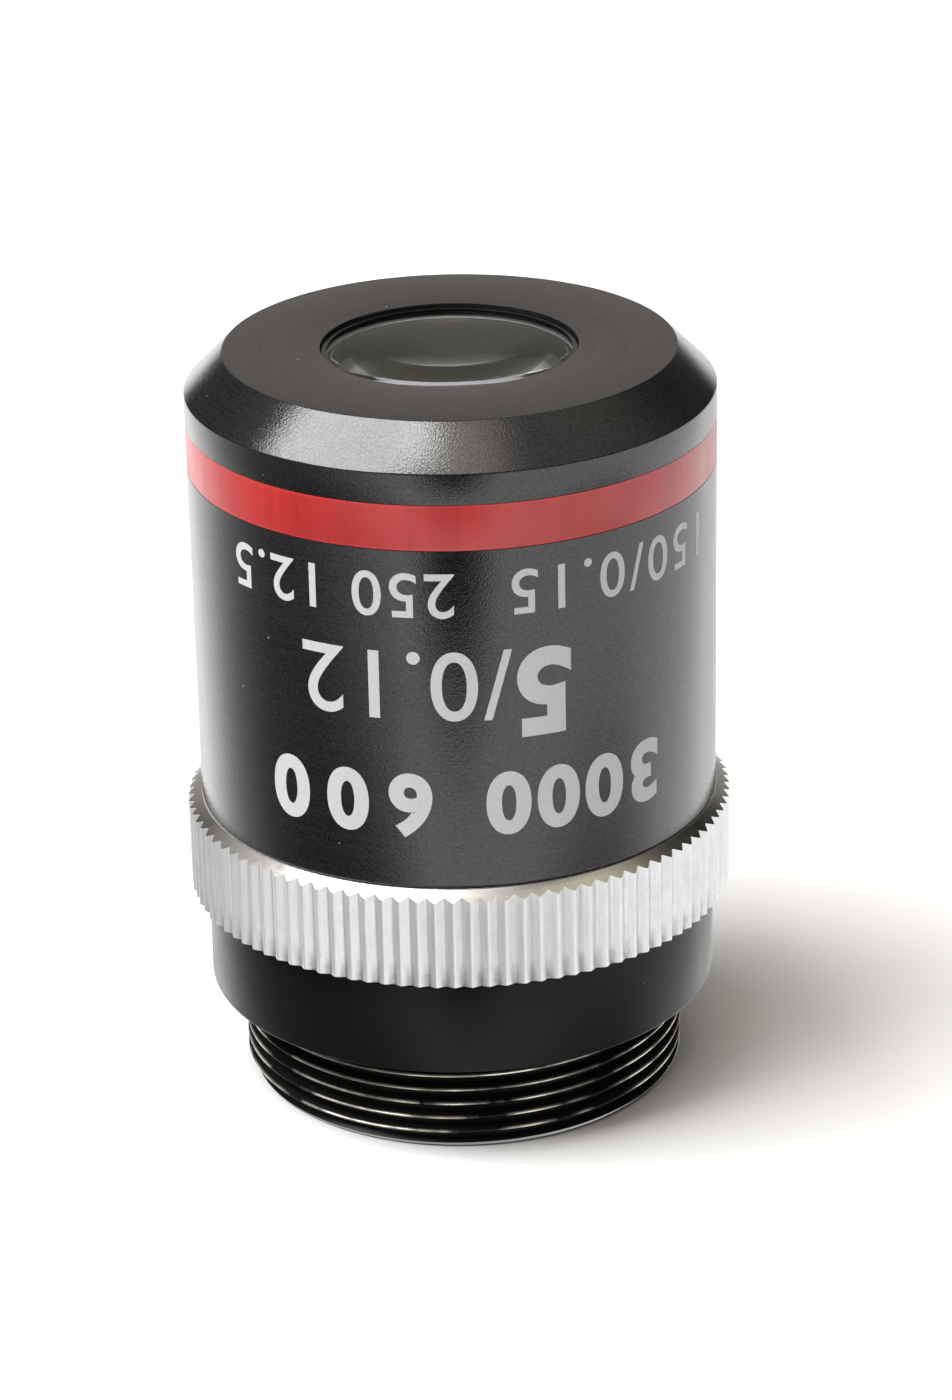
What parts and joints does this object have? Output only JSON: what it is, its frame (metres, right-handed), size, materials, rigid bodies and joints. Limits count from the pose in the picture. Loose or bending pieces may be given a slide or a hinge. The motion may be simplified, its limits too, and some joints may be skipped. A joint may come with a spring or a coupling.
{
  "type": "microscope objective",
  "caption": "Low-power microscope objective with a standard screw mount, black barrel, red band and knurled grip ring.",
  "frame": {"origin": "on the optical axis in the plane of the mounting shoulder, where the thread ends", "axes": "+Z along the optical axis towards the front lens and the specimen; -Z is the way the thread points"},
  "size_m": [0.0248, 0.0248, 0.0347],
  "materials": {
    "black_anodised": "satin black anodised",
    "red_enamel": "red enamel",
    "bright_aluminium": "bright satin",
    "black_mount": "semi-gloss black",
    "tube_brass": "turned",
    "shim_steel": "ground",
    "cell_black": "matte black",
    "coated_glass": "coated",
    "crown_glass": "polished",
    "flint_glass": "polished"
  },
  "bodies": {
    "root": {"outer_sleeve": "black_anodised", "colour_band": "red_enamel", "knurled_ring": "bright_aluminium", "mount_body": "black_mount", "inner_tube": "tube_brass", "parfocal_ring": "shim_steel", "tube_lock_ring": "tube_brass", "rear_stop": "black_mount", "front_cell": "cell_black", "second_cell": "cell_black", "middle_cell": "cell_black", "rear_cell": "cell_black", "front_retainer": "cell_black", "second_retainer": "cell_black", "middle_retainer": "cell_black", "rear_retainer": "cell_black", "front_spacer": "cell_black", "middle_spacer": "cell_black", "rear_spacer": "cell_black", "aperture_stop": "cell_black", "front_lens": "coated_glass", "second_lens_crown": "crown_glass", "second_lens_flint": "flint_glass", "middle_lens_crown": "crown_glass", "middle_lens_flint": "flint_glass", "rear_lens_crown": "crown_glass", "rear_lens_flint": "flint_glass"}
  },
  "joints": []
}
